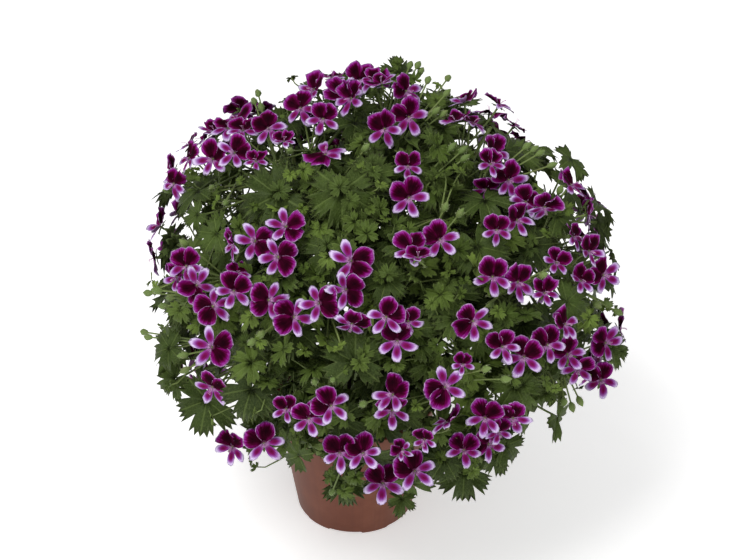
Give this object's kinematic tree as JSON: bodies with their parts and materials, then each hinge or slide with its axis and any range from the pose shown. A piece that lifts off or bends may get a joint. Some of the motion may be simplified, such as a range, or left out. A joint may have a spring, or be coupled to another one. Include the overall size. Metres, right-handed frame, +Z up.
{
  "type": "potted angel pelargonium",
  "caption": "Round bushy flowering pot plant with two-tone five-petalled blooms over lobed leaves, in a tapered plastic nursery pot.",
  "frame": {"origin": "middle of the pot's flat underside, on the surface that the pot stands on", "axes": "+Z up, -Y towards the side that the picture shows"},
  "size_m": [0.3644, 0.3615, 0.3763],
  "materials": {
    "plastic": "matte",
    "peat": "matte",
    "leaf": "satin",
    "bloom": "matte"
  },
  "bodies": {
    "root": {"bloom_back_06": "bloom", "bloom_back_08": "bloom", "bloom_back_11": "bloom", "bloom_back_13": "bloom", "bloom_back_14": "bloom", "bloom_back_16": "bloom", "bloom_back_18": "bloom", "bloom_back_19": "bloom", "bloom_back_21": "bloom", "bloom_back_22": "bloom", "bloom_centre": "bloom", "bloom_centre_low": "bloom", "bloom_crown_far_left": "bloom", "bloom_crown_flat": "bloom", "bloom_crown_left": "bloom", "bloom_crown_middle": "bloom", "bloom_front_left": "bloom", "bloom_front_low": "bloom", "bloom_front_middle": "bloom", "bloom_front_right": "bloom", "bloom_front_skirt": "bloom", "bloom_left_edge": "bloom", "bloom_left_inner": "bloom", "bloom_left_lower": "bloom", "bloom_left_middle": "bloom", "bloom_left_skirt": "bloom", "bloom_low_left": "bloom", "bloom_low_right": "bloom", "bloom_low_right_skirt": "bloom", "bloom_middle_left": "bloom", "bloom_middle_low_right": "bloom", "bloom_middle_right": "bloom", "bloom_right_edge": "bloom", "bloom_right_low": "bloom", "bloom_right_middle": "bloom", "bloom_right_side": "bloom", "bloom_right_skirt": "bloom", "bloom_right_upper": "bloom", "bloom_shoulder_left": "bloom", "bloom_shoulder_right": "bloom", "bloom_top_far_right": "bloom", "bloom_top_left": "bloom", "bloom_top_middle": "bloom", "bloom_top_right": "bloom", "bloom_upper_middle": "bloom", "leafy_stem_01": "leaf", "leafy_stem_02": "leaf", "leafy_stem_03": "leaf", "leafy_stem_04": "leaf", "leafy_stem_05": "leaf", "leafy_stem_06": "leaf", "leafy_stem_07": "leaf", "leafy_stem_08": "leaf", "leafy_stem_09": "leaf", "leafy_stem_10": "leaf", "leafy_stem_11": "leaf", "leafy_stem_12": "leaf", "pot": "plastic", "soil": "peat"}
  },
  "joints": []
}
